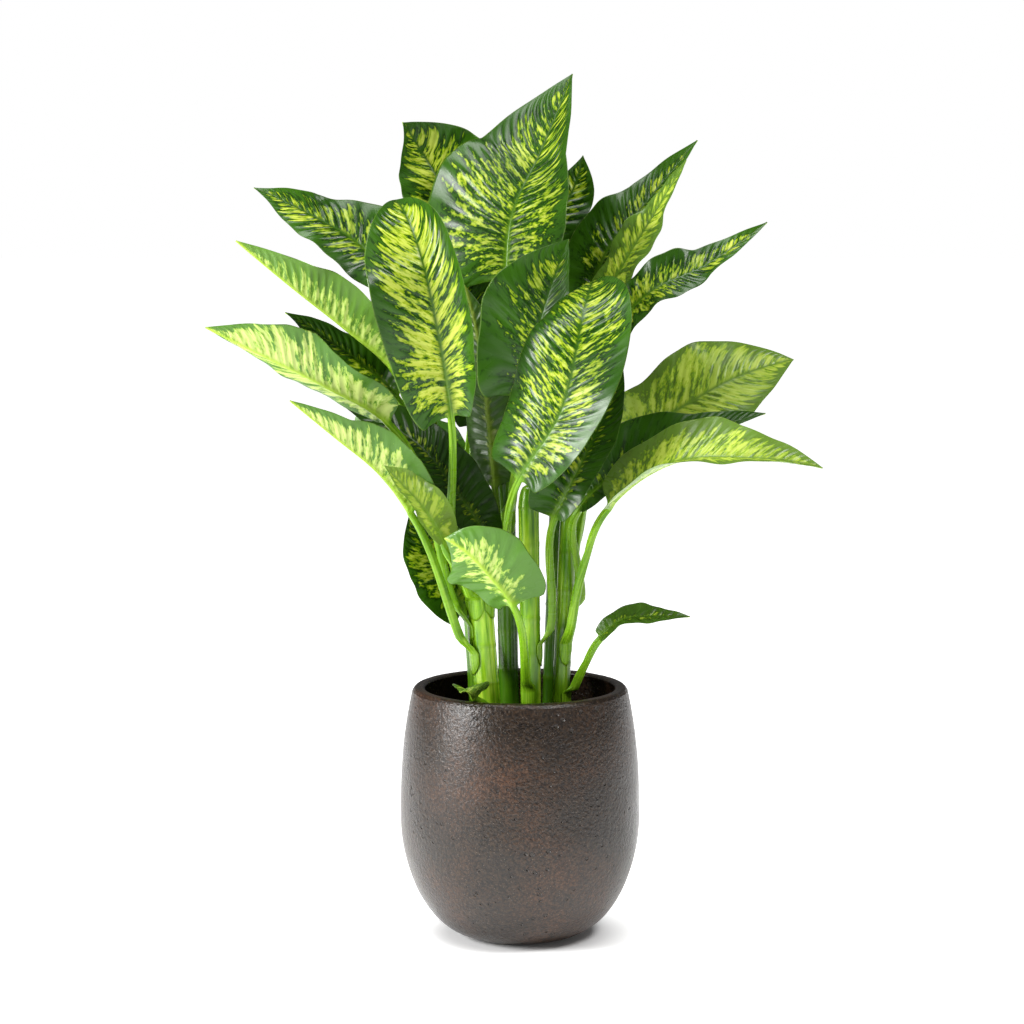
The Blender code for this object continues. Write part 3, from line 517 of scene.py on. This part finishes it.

# leaves: name; cane, direction it leaves the cane (degrees), height of the sheath's foot,
#  sheath length; collar, lower middle, upper middle and tip of the blade; direction the upper
#  side faces; half-widths left then right, each near the base and near the tip; fold and curl
#  (degrees), each left then right; height of the edge's wave; how far the yellow spreads, how
#  solid it is, and its tone: painted light that pales the leaf above 0, painted shade that darkens
#      it below 0
LEAVES = (
    ("leaf_crown", "d", 75, 0.545, 0.028, (-0.018, 0.016, 0.818), (-0.010, 0.030, 0.900),
     (0.025, 0.055, 0.975), (0.065, 0.090, 1.073), (-0.20, -0.90, 0.30), (0.118, 0.110),
     (0.106, 0.062), (2, 26), (-18, 15), 0.006, 0.70, 0.02, -0.26),
    ("leaf_crown_left", "f", 75, 0.535, 0.026, (-0.057, 0.100, 0.845), (-0.085, 0.120, 0.910),
     (-0.120, 0.130, 0.970), (-0.147, 0.110, 1.013), (0.25, -0.90, 0.30), (0.068, 0.066),
     (0.078, 0.085), (10, 10), (15, 15), 0.005, 0.66, 0.14, 0.00),
    ("leaf_crown_small", "e", 125, 0.520, 0.026, (0.030, 0.120, 0.850), (0.050, 0.130, 0.895),
     (0.070, 0.140, 0.935), (0.080, 0.140, 0.972), (-0.10, -0.90, 0.30), (0.030, 0.028),
     (0.034, 0.038), (10, 10), (10, 10), 0.002, 0.60, 0.08, -0.10),
    ("leaf_upper_left_dark", "f", 175, 0.500, 0.028, (-0.137, 0.030, 0.795),
     (-0.195, 0.030, 0.860), (-0.265, 0.040, 0.902), (-0.330, 0.050, 0.932), (0.20, -0.75, 0.60),
     (0.045, 0.042), (0.062, 0.038), (10, 5), (-15, 10), 0.005, 0.66, 0.06, -0.10),
    ("leaf_upper_left_pale", "f", 220, 0.445, 0.026, (-0.156, 0.020, 0.709),
     (-0.217, 0.010, 0.761), (-0.279, 0.000, 0.810), (-0.347, -0.010, 0.868), (0.30, 0.90, 0.30),
     (0.050, 0.052), (0.045, 0.045), (8, 70), (5, 10), 0.003, 0.50, 0.16, 0.10),
    ("leaf_left_ribbed", "a", 185, 0.370, 0.028, (-0.157, -0.065, 0.648), (-0.233, -0.078, 0.694),
     (-0.303, -0.090, 0.730), (-0.376, -0.100, 0.767), (0.00, 0.80, 0.55), (0.042, 0.066),
     (0.026, 0.022), (8, 25), (5, 0), 0.004, 0.85, 0.34, -0.06),
    ("leaf_left_narrow", "f", 185, 0.390, 0.028, (-0.150, 0.030, 0.672), (-0.199, 0.030, 0.717),
     (-0.246, 0.040, 0.750), (-0.292, 0.045, 0.778), (0.25, -0.60, 0.75), (0.045, 0.040),
     (0.026, 0.026), (12, 12), (10, 10), 0.002, 0.30, 0.00, -0.30),
    ("leaf_left_low", "a", 204, 0.336, 0.028, (-0.131, -0.080, 0.541), (-0.171, -0.090, 0.592),
     (-0.222, -0.100, 0.635), (-0.275, -0.110, 0.680), (0.20, 0.85, 0.45), (0.054, 0.042),
     (0.040, 0.035), (8, 70), (5, 10), 0.003, 0.70, 0.26, -0.14),
    ("leaf_left_inner", "a", 245, 0.405, 0.026, (-0.090, -0.105, 0.507), (-0.115, -0.112, 0.550),
     (-0.141, -0.118, 0.580), (-0.163, -0.120, 0.603), (-0.20, -0.50, 0.85), (0.020, 0.018),
     (0.030, 0.028), (12, 12), (10, 10), 0.002, 0.80, 0.30, 0.45),
    ("leaf_front_left", "a", 155, 0.405, 0.028, (-0.082, -0.100, 0.656), (-0.095, -0.130, 0.747),
     (-0.120, -0.140, 0.862), (-0.150, -0.060, 0.918), (0.25, -0.95, 0.20), (0.066, 0.090),
     (0.046, 0.062), (5, 20), (5, 55), 0.005, 0.74, 0.26, 0.00),
    ("leaf_front_right", "a", 335, 0.405, 0.028, (-0.004, -0.120, 0.582), (0.047, -0.150, 0.669),
     (0.074, -0.145, 0.785), (0.088, -0.030, 0.818), (-0.10, -0.95, 0.30), (0.078, 0.072),
     (0.050, 0.080), (-4, 8), (-35, 15), 0.005, 0.70, 0.06, -0.12),
    ("leaf_middle_back", "d", 290, 0.500, 0.028, (0.002, -0.038, 0.675), (0.018, -0.058, 0.749),
     (0.038, -0.064, 0.816), (0.058, -0.060, 0.871), (-0.20, -0.85, 0.45), (0.070, 0.083),
     (0.048, 0.036), (12, 12), (10, 10), 0.004, 0.50, -0.06, -0.12),
    ("leaf_right_top_dark", "e", 30, 0.520, 0.028, (0.079, 0.065, 0.767), (0.109, 0.075, 0.854),
     (0.160, 0.085, 0.916), (0.222, 0.095, 0.991), (-0.40, -0.70, 0.60), (0.055, 0.044),
     (0.045, 0.040), (10, 12), (10, 10), 0.005, 0.45, -0.10, -0.15),
    ("leaf_right_top_pale", "e", 348, 0.475, 0.028, (0.089, 0.030, 0.763), (0.129, 0.020, 0.841),
     (0.166, 0.020, 0.902), (0.204, 0.030, 0.966), (-0.60, -0.60, 0.50), (0.030, 0.022),
     (0.046, 0.036), (20, 10), (10, 10), 0.005, 0.68, 0.20, 0.20),
    ("leaf_right_upper", "e", 330, 0.430, 0.028, (0.112, -0.022, 0.754), (0.157, -0.045, 0.807),
     (0.223, -0.050, 0.839), (0.298, -0.045, 0.891), (-0.30, -0.65, 0.70), (0.036, 0.036),
     (0.036, 0.028), (15, 5), (10, 0), 0.005, 0.60, 0.06, -0.20),
    ("leaf_right_broad", "c", 70, 0.405, 0.028, (0.108, -0.027, 0.610), (0.184, -0.018, 0.656),
     (0.262, -0.018, 0.700), (0.337, 0.002, 0.722), (-0.30, -0.80, 0.45), (0.064, 0.086),
     (0.048, 0.082), (4, 8), (-14, 10), 0.005, 0.82, 0.34, 0.30),
    ("leaf_right_dark", "c", 340, 0.385, 0.028, (0.067, -0.056, 0.539), (0.134, -0.058, 0.597),
     (0.218, -0.068, 0.637), (0.296, -0.075, 0.662), (-0.25, -0.60, 0.75), (0.062, 0.038),
     (0.032, 0.036), (14, 12), (10, 10), 0.003, 0.20, 0.00, -0.20),
    ("leaf_right_arching", "c", 290, 0.345, 0.028, (0.102, -0.095, 0.548), (0.180, -0.145, 0.609),
     (0.270, -0.170, 0.617), (0.355, -0.175, 0.606), (-0.10, -0.60, 0.80), (0.060, 0.060),
     (0.045, 0.040), (5, 35), (5, 0), 0.004, 0.74, 0.28, 0.30),
    ("leaf_low_left", "a", 100, 0.300, 0.028, (-0.067, 0.010, 0.406), (-0.099, 0.000, 0.454),
     (-0.121, -0.010, 0.493), (-0.136, -0.020, 0.535), (0.30, -0.80, 0.50), (0.048, 0.050),
     (0.042, 0.044), (8, 8), (10, 10), 0.003, 0.74, 0.10, 0.00),
    ("leaf_low_centre", "b", 254, 0.290, 0.028, (-0.008, -0.120, 0.435), (-0.033, -0.137, 0.469),
     (-0.062, -0.143, 0.500), (-0.090, -0.132, 0.517), (0.20, 0.90, 0.35), (0.056, 0.058),
     (0.038, 0.070), (8, 8), (10, 10), 0.003, 0.50, 0.16, 0.00),
    ("leaf_low_right", "c", 320, 0.285, 0.026, (0.095, -0.060, 0.384), (0.124, -0.070, 0.409),
     (0.168, -0.075, 0.414), (0.207, -0.070, 0.413), (0.00, -0.60, 0.80), (0.017, 0.018),
     (0.017, 0.018), (12, 12), (10, 10), 0.002, 0.30, 0.06, 0.10),
    ("leaf_rim_sprout", "a", 262, 0.278, 0.018, (-0.056, -0.083, 0.319), (-0.061, -0.102, 0.326),
     (-0.066, -0.121, 0.331), (-0.072, -0.143, 0.333), (0.10, 0.10, 0.98), (0.025, 0.024),
     (0.022, 0.022), (34, 16), (0, 0), 0.000, 0.55, 0.00, 0.20),
    ("leaf_inner_left", "d", 250, 0.430, 0.028, (-0.030, 0.012, 0.560), (-0.039, 0.013, 0.648),
     (-0.049, 0.008, 0.734), (-0.068, 0.005, 0.813), (0.30, 0.90, 0.20), (0.034, 0.040),
     (0.036, 0.042), (10, 10), (10, 10), 0.003, 0.10, 0.00, -0.85),
    ("leaf_inner_large", "a", 75, 0.355, 0.028, (-0.038, -0.014, 0.494), (-0.081, -0.007, 0.563),
     (-0.134, -0.002, 0.624), (-0.243, 0.000, 0.680), (0.30, -0.80, 0.50), (0.038, 0.045),
     (0.038, 0.045), (10, 10), (10, 10), 0.004, 0.20, 0.00, -0.75),
    ("leaf_inner_right", "b", 350, 0.345, 0.028, (0.039, -0.085, 0.532), (0.072, -0.095, 0.600),
     (0.102, -0.095, 0.665), (0.123, -0.080, 0.722), (-0.30, -0.85, 0.40), (0.050, 0.045),
     (0.030, 0.036), (10, 10), (10, 10), 0.003, 0.25, 0.00, -0.40),
    ("leaf_crown_inner", "f", 20, 0.440, 0.028, (-0.050, 0.062, 0.631), (-0.055, 0.065, 0.718),
     (-0.070, 0.065, 0.799), (-0.088, 0.060, 0.877), (0.20, -0.95, 0.20), (0.050, 0.050),
     (0.042, 0.048), (10, 10), (10, 10), 0.003, 0.45, 0.00, -0.30),
    ("leaf_back_high", "d", 100, 0.490, 0.028, (-0.030, 0.135, 0.720), (-0.060, 0.190, 0.790),
     (-0.085, 0.240, 0.845), (-0.110, 0.300, 0.880), (0.10, -0.30, 0.95), (0.060, 0.060),
     (0.060, 0.060), (12, 12), (10, 10), 0.004, 0.66, 0.12, 0.00),
    ("leaf_back_left", "f", 95, 0.390, 0.028, (-0.085, 0.110, 0.560), (-0.130, 0.165, 0.605),
     (-0.175, 0.220, 0.625), (-0.220, 0.275, 0.620), (0.20, -0.20, 0.95), (0.055, 0.055),
     (0.055, 0.055), (12, 12), (10, 10), 0.004, 0.66, 0.12, 0.00),
    ("leaf_back_right", "e", 62, 0.405, 0.028, (0.100, 0.115, 0.570), (0.140, 0.170, 0.610),
     (0.185, 0.225, 0.630), (0.230, 0.285, 0.620), (-0.20, -0.20, 0.95), (0.055, 0.055),
     (0.055, 0.055), (12, 12), (10, 10), 0.004, 0.66, 0.12, 0.00),
    ("leaf_back_middle", "e", 100, 0.450, 0.028, (0.050, 0.130, 0.640), (0.060, 0.195, 0.710),
     (0.070, 0.265, 0.755), (0.080, 0.335, 0.765), (0.00, -0.30, 0.95), (0.060, 0.060),
     (0.060, 0.060), (12, 12), (10, 10), 0.004, 0.66, 0.12, 0.00),
)

# places round a leaf's section: over the upper side from the left edge to the right edge, then
# back along the under side, each as a share of the way out from the midrib (left below 0)
side_shares = np.array(SHARES)
over = np.concatenate([-side_shares[::-1], side_shares[1:]])
back = over[::-1][1:-1]
AROUND = np.concatenate([over, back])
BELOW = np.concatenate([np.zeros(len(over)), np.ones(len(back))])
SHARE = np.abs(AROUND)
RIGHT = AROUND > 0


def smooth(t):
    """From 0 to 1 as t goes from 0 to 1, level at both ends."""
    t = np.clip(t, 0.0, 1.0)
    return t * t * (3 - 2 * t)


def unit(v):
    return v / np.linalg.norm(v, axis=-1, keepdims=True)


def outline(s):
    """Share of the largest half-width, rounded between the listed shares."""
    at, width = np.array(BLADE_OUTLINE).T
    slope = np.gradient(width, at)
    i = np.clip(np.searchsorted(at, s, side="right") - 1, 0, len(at) - 2)
    step = at[i + 1] - at[i]
    t = (s - at[i]) / step
    a, b = t * t, t ** 3
    curve = ((2 * b - 3 * a + 1) * width[i] + (b - 2 * a + t) * slope[i] * step
             + (3 * a - 2 * b) * width[i + 1] + (b - a) * slope[i + 1] * step)
    base = width[1] * np.sqrt(np.clip(s, 0, 1) / at[1])
    return np.where(s < at[1], base, np.maximum(curve, 0.0))


def hermite(p0, m0, p1, m1, t):
    """Points and directions on a curve from p0 to p1 that leaves along m0, arrives along m1."""
    t = np.asarray(t)[:, None]
    a, b = t * t, t * t * t
    point = (2 * b - 3 * a + 1) * p0 + (b - 2 * a + t) * m0 + (3 * a - 2 * b) * p1 + (b - a) * m1
    slope = (6 * a - 6 * t) * (p0 - p1) + (3 * a - 4 * t + 1) * m0 + (3 * a - 2 * t) * m1
    return point, unit(slope)


def midrib(points, first, s):
    """Points and directions of the midrib at shares s of the blade's length."""
    turns = [first, unit(points[2] - points[0]), unit(points[3] - points[1])]
    turns.append(unit(2 * unit(points[3] - points[2]) - turns[2]))
    shares = (0.0, LOW_SHARE, HIGH_SHARE, 1.0)
    at, grow = np.zeros((len(s), 3)), np.zeros((len(s), 3))
    for i in range(3):
        here = (s >= shares[i]) & (s <= shares[i + 1])
        length = np.linalg.norm(points[i + 1] - points[i])
        at[here], grow[here] = hermite(points[i], turns[i] * length, points[i + 1],
                                       turns[i + 1] * length,
                                       (s[here] - shares[i]) / (shares[i + 1] - shares[i]))
    return at, grow


def clasp_section(radius, thick=CLASP_THICK):
    """Across and height of the crescent that clasps a cane of this radius."""
    lip = SHARE ** 8
    r = radius + thick * np.where(BELOW > 0, 1 - 0.5 * lip, 0.5 * lip)
    a = AROUND * CLASP_ANGLE
    return r * np.sin(a), radius - r * np.cos(a)


def petiole_section(radius):
    """Across and height of the stalk: rounded below, a shallow groove along its upper side."""
    lean = AROUND * math.pi / 2
    hollow = GROOVE_DEPTH * np.exp(-(AROUND / GROOVE_HALF) ** 2)
    up = -STALK_UP + STALK_UP * np.cos(lean).clip(0) ** STALK_FLAT - hollow
    down = -STALK_UP - STALK_DOWN * np.cos(lean).clip(0)
    return radius * np.sin(lean), radius * np.where(BELOW > 0, down, up)


def grow_leaf(seed, cane, azimuth, foot_z, clasp, collar, low, high, tip, face, left, right,
              folds, curls, wave, spread, solid, tone):
    """Rows of places round a leaf from the foot of its sheath to its tip, and its three fields.

    The fields are grain (along, across, the leaf's own number), zone (yellow, midline, under
    side) and part (blade rather than stalk, edge, tone: painted light above 0, painted shade below
    0)."""
    rng = np.random.default_rng(seed)
    foot, top, radius = CANES[cane]
    up_cane = unit(np.array(top) - np.array(foot))
    a = math.radians(azimuth)
    outward = np.array((math.cos(a), math.sin(a), 0.0))
    outward = unit(outward - up_cane * outward.dot(up_cane))
    inner = (radius + GAP) / math.cos(CLASP_ANGLE / 4) + SHEATH_EASE
    start = np.array(cane_axis(cane, foot_z)) + outward * inner
    end = start + up_cane * clasp
    points = [np.array(p, float) for p in (collar, low, high, tip)]
    face = unit(np.array(face, float))
    reach = np.linalg.norm(points[0] - end)
    chord, ahead = unit(points[0] - end), unit(points[1] - points[0])
    grow_in = unit(chord + (ahead - chord) * BLADE_PULL)
    leave = unit(up_cane + outward * DEPARTURE)

    places, grains, zones, parts = [], [], [], []

    def lay(at, grow, upper, section, along_row):
        """Add one row of the sheath or stalk."""
        upper = unit(upper - grow * (upper * grow).sum(-1, keepdims=True))
        across = np.cross(grow, upper)
        x, z = section
        places.append(at + across * x[:, None] + upper * z[:, None])
        grains.append(np.stack([along_row + 0 * x, x, 0 * x + seed * LEAF_APART], -1))
        zones.append(np.stack([0 * x, 0 * x, BELOW], -1))
        parts.append(np.stack([0 * x, 0 * x, 0 * x + tone], -1))

    # sheath: a tongue that rises from the cane's skin, rounded at its foot
    for t in np.linspace(0.0, 1.0, SHEATH_ROWS):
        tongue = up_cane * (SHEATH_ROUND * (1 - t)) * (SHARE ** 2)[:, None]
        thick = CLASP_THICK * (0.2 + 0.8 * smooth(2 * t))
        lay(start + (end - start) * t + tongue, up_cane, -outward,
            clasp_section(inner, thick), -reach - clasp * (1 - t))

    # stalk: the crescent soon closes into a rounded stalk, which turns to bear the blade
    steps = np.linspace(0.0, 1.0, PETIOLE_ROWS)[1:]
    line, grow = hermite(end, leave * reach * SUPPLE, points[0], grow_in * reach * SUPPLE, steps)
    for t, at, direction in zip(steps, line, grow):
        closed = smooth(t / STALK_CLOSED)
        cx, cz = clasp_section(inner)
        px, pz = petiole_section(PETIOLE_R + (COLLAR_R - PETIOLE_R) * t)
        upper = -outward + (face + outward) * smooth(t)
        lay(at, direction, upper, (cx + (px - cx) * closed, cz + (pz - cz) * closed),
            -reach * (1 - t))

    # blade, on rows that follow the side veins
    fine = np.linspace(0.0, 1.0, 401)
    line, grow = midrib(points, grow_in, fine)
    length = np.linalg.norm(np.diff(line, axis=0), axis=1).sum()
    ribs = max(FEWEST_RIBS, round(length / RIB_SPACING))
    largest = max(*left, *right)
    sweep = min(MOST_SWEEP, 4 * VEIN_SWEEP * largest / length)
    reach_of = rng.uniform(-PLUME_VARIES, PLUME_VARIES, (2, ribs + 3))
    phase = rng.uniform(0, math.tau, 2)
    near = np.where(RIGHT, right[0], left[0])
    far = np.where(RIGHT, right[1], left[1])
    outer = np.where(RIGHT | (AROUND == 0), 1, -1)

    # each half folds at the midrib and curls like part of a hoop, or stays flat
    folds, curls = np.radians(folds), np.radians(curls)
    fold = np.where(RIGHT, folds[1], folds[0])
    curl = np.where(RIGHT, curls[1], curls[0])
    lean = fold + curl * SHARE
    flat = np.abs(curl) < 1e-4
    hoop = np.where(flat, 1.0, curl)
    bent_x = np.where(flat, SHARE * np.cos(fold), (np.sin(lean) - np.sin(fold)) / hoop)
    bent_z = np.where(flat, SHARE * np.sin(fold), (np.cos(fold) - np.cos(lean)) / hoop)

    for row in range(1, ribs * RIB_ROWS + 1):
        s_row = row / (ribs * RIB_ROWS)
        s = s_row + sweep * SHARE * s_row * (1 - s_row)
        at = np.stack([np.interp(s, fine, line[:, k]) for k in range(3)], -1)
        direction = unit(np.stack([np.interp(s, fine, grow[:, k]) for k in range(3)], -1))
        lobe = LOBE * near * SHARE ** 2 * smooth(s / LOBE_GROWN)
        ending = 1 - smooth((s - LOBE_GROWN) / (LOBE_ENDED - LOBE_GROWN))
        at = at - direction * (lobe * ending)[:, None]
        upper = unit(face - direction * (face * direction).sum(-1, keepdims=True))
        across = np.cross(direction, upper)

        grown = outline(s)
        nearer_tip = np.clip((s - LOW_SHARE) / (HIGH_SHARE - LOW_SHARE), 0, 1)
        half = np.maximum(grown * (near + (far - near) * nearer_tip), TIP_HALF)
        x, z = bent_x * half, bent_z * half

        # waves along the edge, quilting between the side veins, and a slow sag
        ripple = grown * wave * SHARE ** 2 * (
            np.sin(math.tau * (WAVES * s + WAVE_SHIFT * RIGHT))
            + FINE_WAVE * np.sin(math.tau * 2.6 * WAVES * s + phase[0] + RIGHT))
        beat = ribs * s_row + 0.5 * RIGHT
        quilt = (np.abs(np.sin(math.pi * beat)) - RIB_MEAN) * RIB_RELIEF
        quilt = quilt * smooth(SHARE / 0.12) * (1 - smooth((SHARE - 0.6) / 0.4))
        quilt = quilt * smooth(s_row / 0.08) * (1 - smooth((s - 0.85) / 0.15))
        sag = SAG * np.sin(math.tau * (1.4 * s + 0.5 * AROUND) + phase[1]) * SHARE
        z = z + ripple + quilt + sag * grown

        # thickness, thinner towards the edge, with the midrib below and a groove above
        rib = math.exp(-3.2 * s_row) * 0.9 + 0.10
        keel = np.exp(-(x / (KEEL_HALF * (0.35 + 0.65 * rib))) ** 2) * KEEL_DEPTH * rib
        under = np.where(SHARE >= 1, 0.5, BELOW)
        depth = BLADE_THICK * (1 - 0.85 * SHARE ** 6) * under + keel * BELOW
        groove_half = 0.0016 + 0.001 * rib
        groove = (1 - BELOW) * VEIN_GROOVE * np.exp(-(x / groove_half) ** 2) * (1 - s_row)
        x = x + depth * np.sin(lean)
        z = z - depth * np.cos(lean) - groove
        px, pz = petiole_section(COLLAR_R)
        opened = smooth(s / COLLAR_OPENED)
        x = px + (x * outer - px) * opened
        z = pz + (z - pz) * opened
        places.append(at + across * x[:, None] + upper * z[:, None])

        # the yellow reaches further out along each side vein than between two of them
        vein = beat - np.floor(beat)
        plume = np.cos(math.tau * vein)
        which = np.floor(beat).astype(int).clip(0, ribs + 1)
        blend = smooth(vein)
        side = RIGHT.astype(int)
        limits = reach_of[side, which] * (1 - blend) + reach_of[side, which + 1] * blend
        inside = (spread + limits - SHARE) / PLUME_FADE + PLUME_RAGGED * plume
        inside = inside - 2.2 * smooth((s - 0.80) / 0.18) - 1.8 * (1 - smooth(s_row / 0.10))
        yellow = np.where(inside > 0, solid * np.minimum(inside, 1.0), 0.0)
        yellow = yellow + 0.60 * np.clip(inside - 0.3, -1.3, 0.0)
        midline = np.exp(-(x / (MIDLINE_HALF + MIDLINE_BASE * rib)) ** 2)
        pale = 0.50 * midline * (1 - smooth(s / 0.60))
        grains.append(np.stack([s_row * length + 0 * x, x, np.full(len(x), seed * LEAF_APART)], -1))
        zones.append(np.stack([yellow, midline, BELOW + 0 * x], -1))
        parts.append(np.stack([smooth(s / 0.05) * (1 - pale), (SHARE >= 1) * 1.0,
                               0 * x + tone], -1))
    return places, grains, zones, parts


# dieffenbachia leaf: a waxy, satin skin over soft green flesh that lets some light through.
# Above, dark green shows round the edge and in flecks between the side veins, yellow-green to
# cream in ragged plumes along them; below, the same pattern lies paler under a greyish bloom.
leaf_skin, tree = new_material("waxy_leaf_skin")
grain = field(tree, "grain")
zone = field(tree, "zone")
part = field(tree, "part")


def vein_noise(along_mm, across_mm, detail):
    """Noise whose marks are along_mm long beside the midrib and across_mm wide out from it."""
    at = stretched(tree, grain, 1000 / along_mm, 1000 / across_mm)
    return add(tree, "TexNoise", {"Vector": at, "Scale": 1.0, "Detail": detail, "Roughness": 0.6})


# the pattern: yellow where it is above half, broken up by large plumes and small flecks
plumes = vein_noise(8.0, 36.0, 1.0)
flecks = vein_noise(3.4, 8.5, 3.0)
large = add(tree, "Math", {0: plumes, 1: 1.8, 2: -0.90}, operation="MULTIPLY_ADD")
small = add(tree, "Math", {0: flecks, 1: 2.5, 2: -1.25}, operation="MULTIPLY_ADD")
ragged = add(tree, "Math", {0: large, 1: small}, operation="ADD")
lifted = add(tree, "Math", {0: zone.outputs[0], 1: 0.50}, operation="ADD")
pattern = add(tree, "Math", {0: lifted, 1: ragged}, operation="ADD")

# upper side, under side, and a pale line round the edge
upper_colour = stops(add(tree, "ValToRGB", {"Fac": pattern}),
                     ((0.00, "#38640f"), (0.25, "#264e08"), (0.42, "#143002"), (0.49, "#2f5c05"),
                      (0.57, "#608c08"), (0.68, "#94ae14"), (0.82, "#b0c228"), (1.00, "#cdd858")))
# painted shade: random patches darken the upper side
deep = add(tree, "TexNoise", {"Vector": add(tree, "TexCoord").outputs["Object"], "Scale": 14.0})
shade = stops(add(tree, "ValToRGB", {"Fac": deep}), ((0.35, "#c4cfc0"), (0.65, "#ffffff")))
shaded = blended(tree, 1.0, upper_colour, shade, "MULTIPLY")
upper_rib = blended(tree, zone.outputs[1], shaded, linear("#2f5608"))
under_colour = stops(add(tree, "ValToRGB", {"Fac": pattern}),
                     ((0.00, "#55812e"), (0.43, "#4f7c28"), (0.50, "#6a9634"), (0.62, "#98b846"),
                      (1.00, "#c2d478")))
under_rib = blended(tree, zone.outputs[1], under_colour, linear("#a8c83c"))
both = blended(tree, zone.outputs[2], upper_rib, under_rib)
edge_line = add(tree, "Math", {0: part.outputs[1], 1: 0.45}, operation="MULTIPLY")
edged = blended(tree, edge_line, both, linear("#7d9a34"))
# painted light: a leaf whose tone is above 0 is mixed towards a pale green
painted_light_share = add(tree, "Math", {0: part.outputs[2], 1: 0.0}, operation="MAXIMUM")
painted_lit = blended(tree, painted_light_share, edged, linear("#a2c452"))

# the stalk, streaked along its length, and painted shade that darkens the whole leaf when its tone
# is below 0
streaks = vein_noise(60.0, 1.6, 2.0)
stalk_colour = stops(add(tree, "ValToRGB", {"Fac": streaks}),
                     ((0.30, "#5a8c0c"), (0.50, "#79ab1a"), (0.70, "#98c238")))
grown = blended(tree, part.outputs[0], stalk_colour, painted_lit)
painted_shade_level = add(tree, "MapRange", {"Value": part.outputs[2], "From Min": -1.0, "From Max": 0.0,
                               "To Min": 0.25, "To Max": 1.0})
painted_shade = add(tree, "CombineColor", {0: painted_shade_level, 1: painted_shade_level, 2: painted_shade_level})
whole = blended(tree, 1.0, grown, painted_shade, "MULTIPLY")
hairlines = vein_noise(1.5, 26.0, 1.0)
bump = add(tree, "Bump", {"Height": hairlines, "Strength": 0.25, "Distance": 0.0005})
rough = add(tree, "MapRange", {"Value": plumes, "From Min": 0.3, "From Max": 0.7,
                               "To Min": 0.23, "To Max": 0.34})
shader = add(tree, "BsdfPrincipled", {"Base Color": whole, "Roughness": rough,
                                      "IOR": 1.42, "Specular IOR Level": 0.42, "Normal": bump})
through = add(tree, "BsdfTranslucent", {"Color": whole})
living = add(tree, "MixShader", {0: 0.25, 1: shader, 2: through})
add(tree, "OutputMaterial", {"Surface": living})

for seed, (node, *row) in enumerate(LEAVES):
    places, grains, zones, parts = grow_leaf(seed, *row)
    bm = mapped_grid(len(places), len(AROUND), places,
                     {"grain": grains, "zone": zones, "part": parts})
    finish_piece(bm, "grown_" + node, leaf_skin, node)
